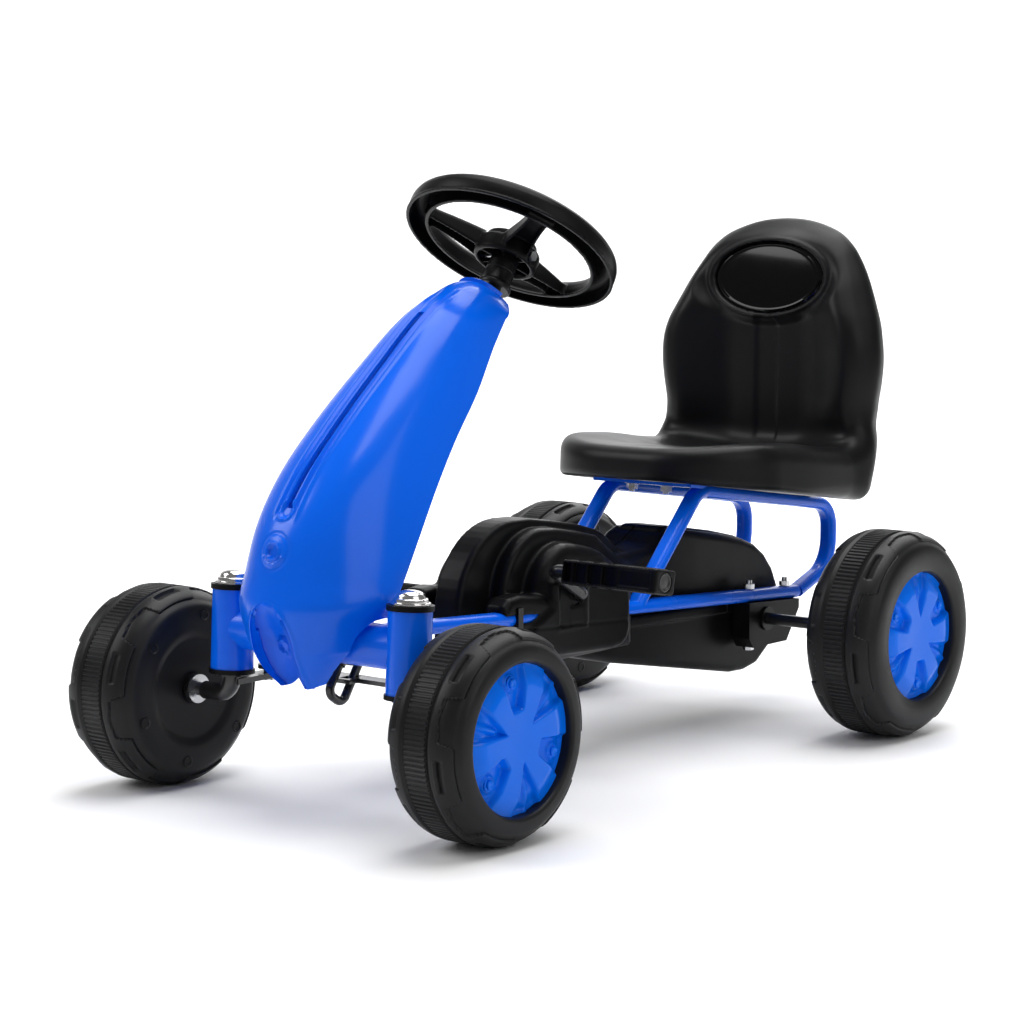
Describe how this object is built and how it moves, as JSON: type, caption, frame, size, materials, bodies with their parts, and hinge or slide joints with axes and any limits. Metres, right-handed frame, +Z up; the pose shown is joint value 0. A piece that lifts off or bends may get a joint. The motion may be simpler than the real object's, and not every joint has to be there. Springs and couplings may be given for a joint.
{
  "type": "pedal go kart",
  "caption": "Child's four-wheeled pedal kart with steered front wheels, crank and chain drive to the rear axle, bucket seat and a tall front cover.",
  "frame": {"origin": "on the ground, under the centre of the overall length and width", "axes": "+Z up, -Y towards the nose, +X to the rider's left"},
  "size_m": [0.494, 0.8311, 0.5485],
  "materials": {
    "frame_blue": "gloss powder coat, royal blue",
    "hood_blue": "high gloss moulded plastic, royal blue",
    "wheel_black": "satin blow-moulded plastic, black",
    "case_black": "satin moulded plastic, black",
    "seat_black": "satin moulded plastic, black",
    "gloss_black": "high gloss, black",
    "end_cap_black": "dark moulded disc over the pedal pin",
    "zinc_steel": "bright zinc plate",
    "chrome_steel": "polished",
    "black_steel": "satin black paint",
    "chain_steel": "oiled steel",
    "nylon_black": "moulded nylon, black",
    "screw_blue": "painted with the hub caps, blue"
  },
  "bodies": {
    "frame": {"front_axle_beam": "frame_blue", "left_lower_rail": "frame_blue", "right_lower_rail": "frame_blue", "left_seat_hoop": "frame_blue", "right_seat_hoop": "frame_blue", "seat_cross_plates": "frame_blue", "hood": "hood_blue", "kingpin_bushes": "case_black", "column_lower_bushes": "nylon_black", "chain_case_left": "case_black", "chain_case_right": "case_black", "chain_case_tray": "case_black", "crank_stands": "case_black", "crank_bushes": "nylon_black", "rear_axle_blocks": "case_black", "axle_block_bolts": "zinc_steel", "rear_axle_bushes": "nylon_black", "seat": "seat_black", "seat_back_oval": "gloss_black", "seat_bolts": "zinc_steel", "chain": "chain_steel", "rail_clips": "gloss_black"},
    "steering": {"steering_column": "black_steel", "steering_wheel": "case_black", "steering_wheel_cap": "case_black", "column_sleeve": "case_black", "steering_wheel_bolt": "zinc_steel"},
    "left_knuckle": {"left_stub_axle": "black_steel", "left_kingpin_dome_nut": "chrome_steel", "left_tie_rod_pin": "zinc_steel", "front_left_axle_nut": "zinc_steel"},
    "right_knuckle": {"right_stub_axle": "black_steel", "right_kingpin_dome_nut": "chrome_steel", "right_tie_rod_pin": "zinc_steel", "front_right_axle_nut": "zinc_steel"},
    "tie_rod": {"tie_rod": "black_steel"},
    "front_left_wheel": {"front_left_wheel": "wheel_black", "front_left_hub_cap": "hood_blue", "front_left_cap_screws": "screw_blue", "front_left_wheel_bushes": "nylon_black"},
    "front_right_wheel": {"front_right_wheel": "wheel_black", "front_right_hub_cap": "hood_blue", "front_right_cap_screws": "screw_blue", "front_right_wheel_bushes": "nylon_black"},
    "rear_axle": {"rear_axle": "black_steel", "rear_axle_nuts": "zinc_steel", "rear_sprocket": "chain_steel", "rear_left_wheel": "wheel_black", "rear_right_wheel": "wheel_black", "rear_left_hub_cap": "hood_blue", "rear_right_hub_cap": "hood_blue", "rear_cap_screws": "screw_blue", "rear_wheel_bushes": "nylon_black"},
    "crank": {"crankshaft": "black_steel", "front_sprocket": "chain_steel"},
    "left_pedal": {"left_pedal": "case_black", "left_pedal_end_cap": "end_cap_black"},
    "right_pedal": {"right_pedal": "case_black", "right_pedal_end_cap": "end_cap_black"}
  },
  "joints": [
    {"name": "steering", "type": "hinge", "parent": "frame", "child": "steering", "pos_m": [0, -0.0574, 0.4875], "axis": [0, 0.549, 0.8358], "range_deg": [-45, 45]},
    {"name": "left_kingpin", "type": "hinge", "parent": "frame", "child": "left_knuckle", "pos_m": [0.1035, -0.3255, 0.09], "axis": [0, 0.0523, 0.9986], "range_deg": [-19.8, 19.8]},
    {"name": "right_kingpin", "type": "hinge", "parent": "frame", "child": "right_knuckle", "pos_m": [-0.1035, -0.3255, 0.09], "axis": [0, 0.0523, 0.9986], "range_deg": [-19.8, 19.8]},
    {"name": "tie_rod_pivot", "type": "hinge", "parent": "left_knuckle", "child": "tie_rod", "pos_m": [0.1035, -0.2775, 0.109], "axis": [0, 0.0523, 0.9986], "range_deg": [-19.8, 19.8]},
    {"name": "front_left_wheel_spin", "type": "hinge", "parent": "left_knuckle", "child": "front_left_wheel", "pos_m": [0.189, -0.3255, 0.09], "axis": [1, 0, 0], "continuous": true},
    {"name": "front_right_wheel_spin", "type": "hinge", "parent": "right_knuckle", "child": "front_right_wheel", "pos_m": [-0.189, -0.3255, 0.09], "axis": [1, 0, 0], "continuous": true},
    {"name": "rear_axle_spin", "type": "hinge", "parent": "frame", "child": "rear_axle", "pos_m": [0, 0.277, 0.1016], "axis": [1, 0, 0], "continuous": true},
    {"name": "crank_spin", "type": "hinge", "parent": "frame", "child": "crank", "pos_m": [0, -0.0415, 0.162], "axis": [1, 0, 0], "continuous": true},
    {"name": "left_pedal_spin", "type": "hinge", "parent": "crank", "child": "left_pedal", "pos_m": [0.14, -0.09076, 0.19067], "axis": [1, 0, 0], "continuous": true},
    {"name": "right_pedal_spin", "type": "hinge", "parent": "crank", "child": "right_pedal", "pos_m": [-0.14, 0.00776, 0.13333], "axis": [1, 0, 0], "continuous": true}
  ],
  "couplings": [
    {"joint": "left_kingpin", "follows": "steering", "ratio": 0.44},
    {"joint": "right_kingpin", "follows": "steering", "ratio": 0.44},
    {"joint": "tie_rod_pivot", "follows": "steering", "ratio": -0.44},
    {"joint": "crank_spin", "follows": "rear_axle_spin", "ratio": 0.63636}
  ]
}
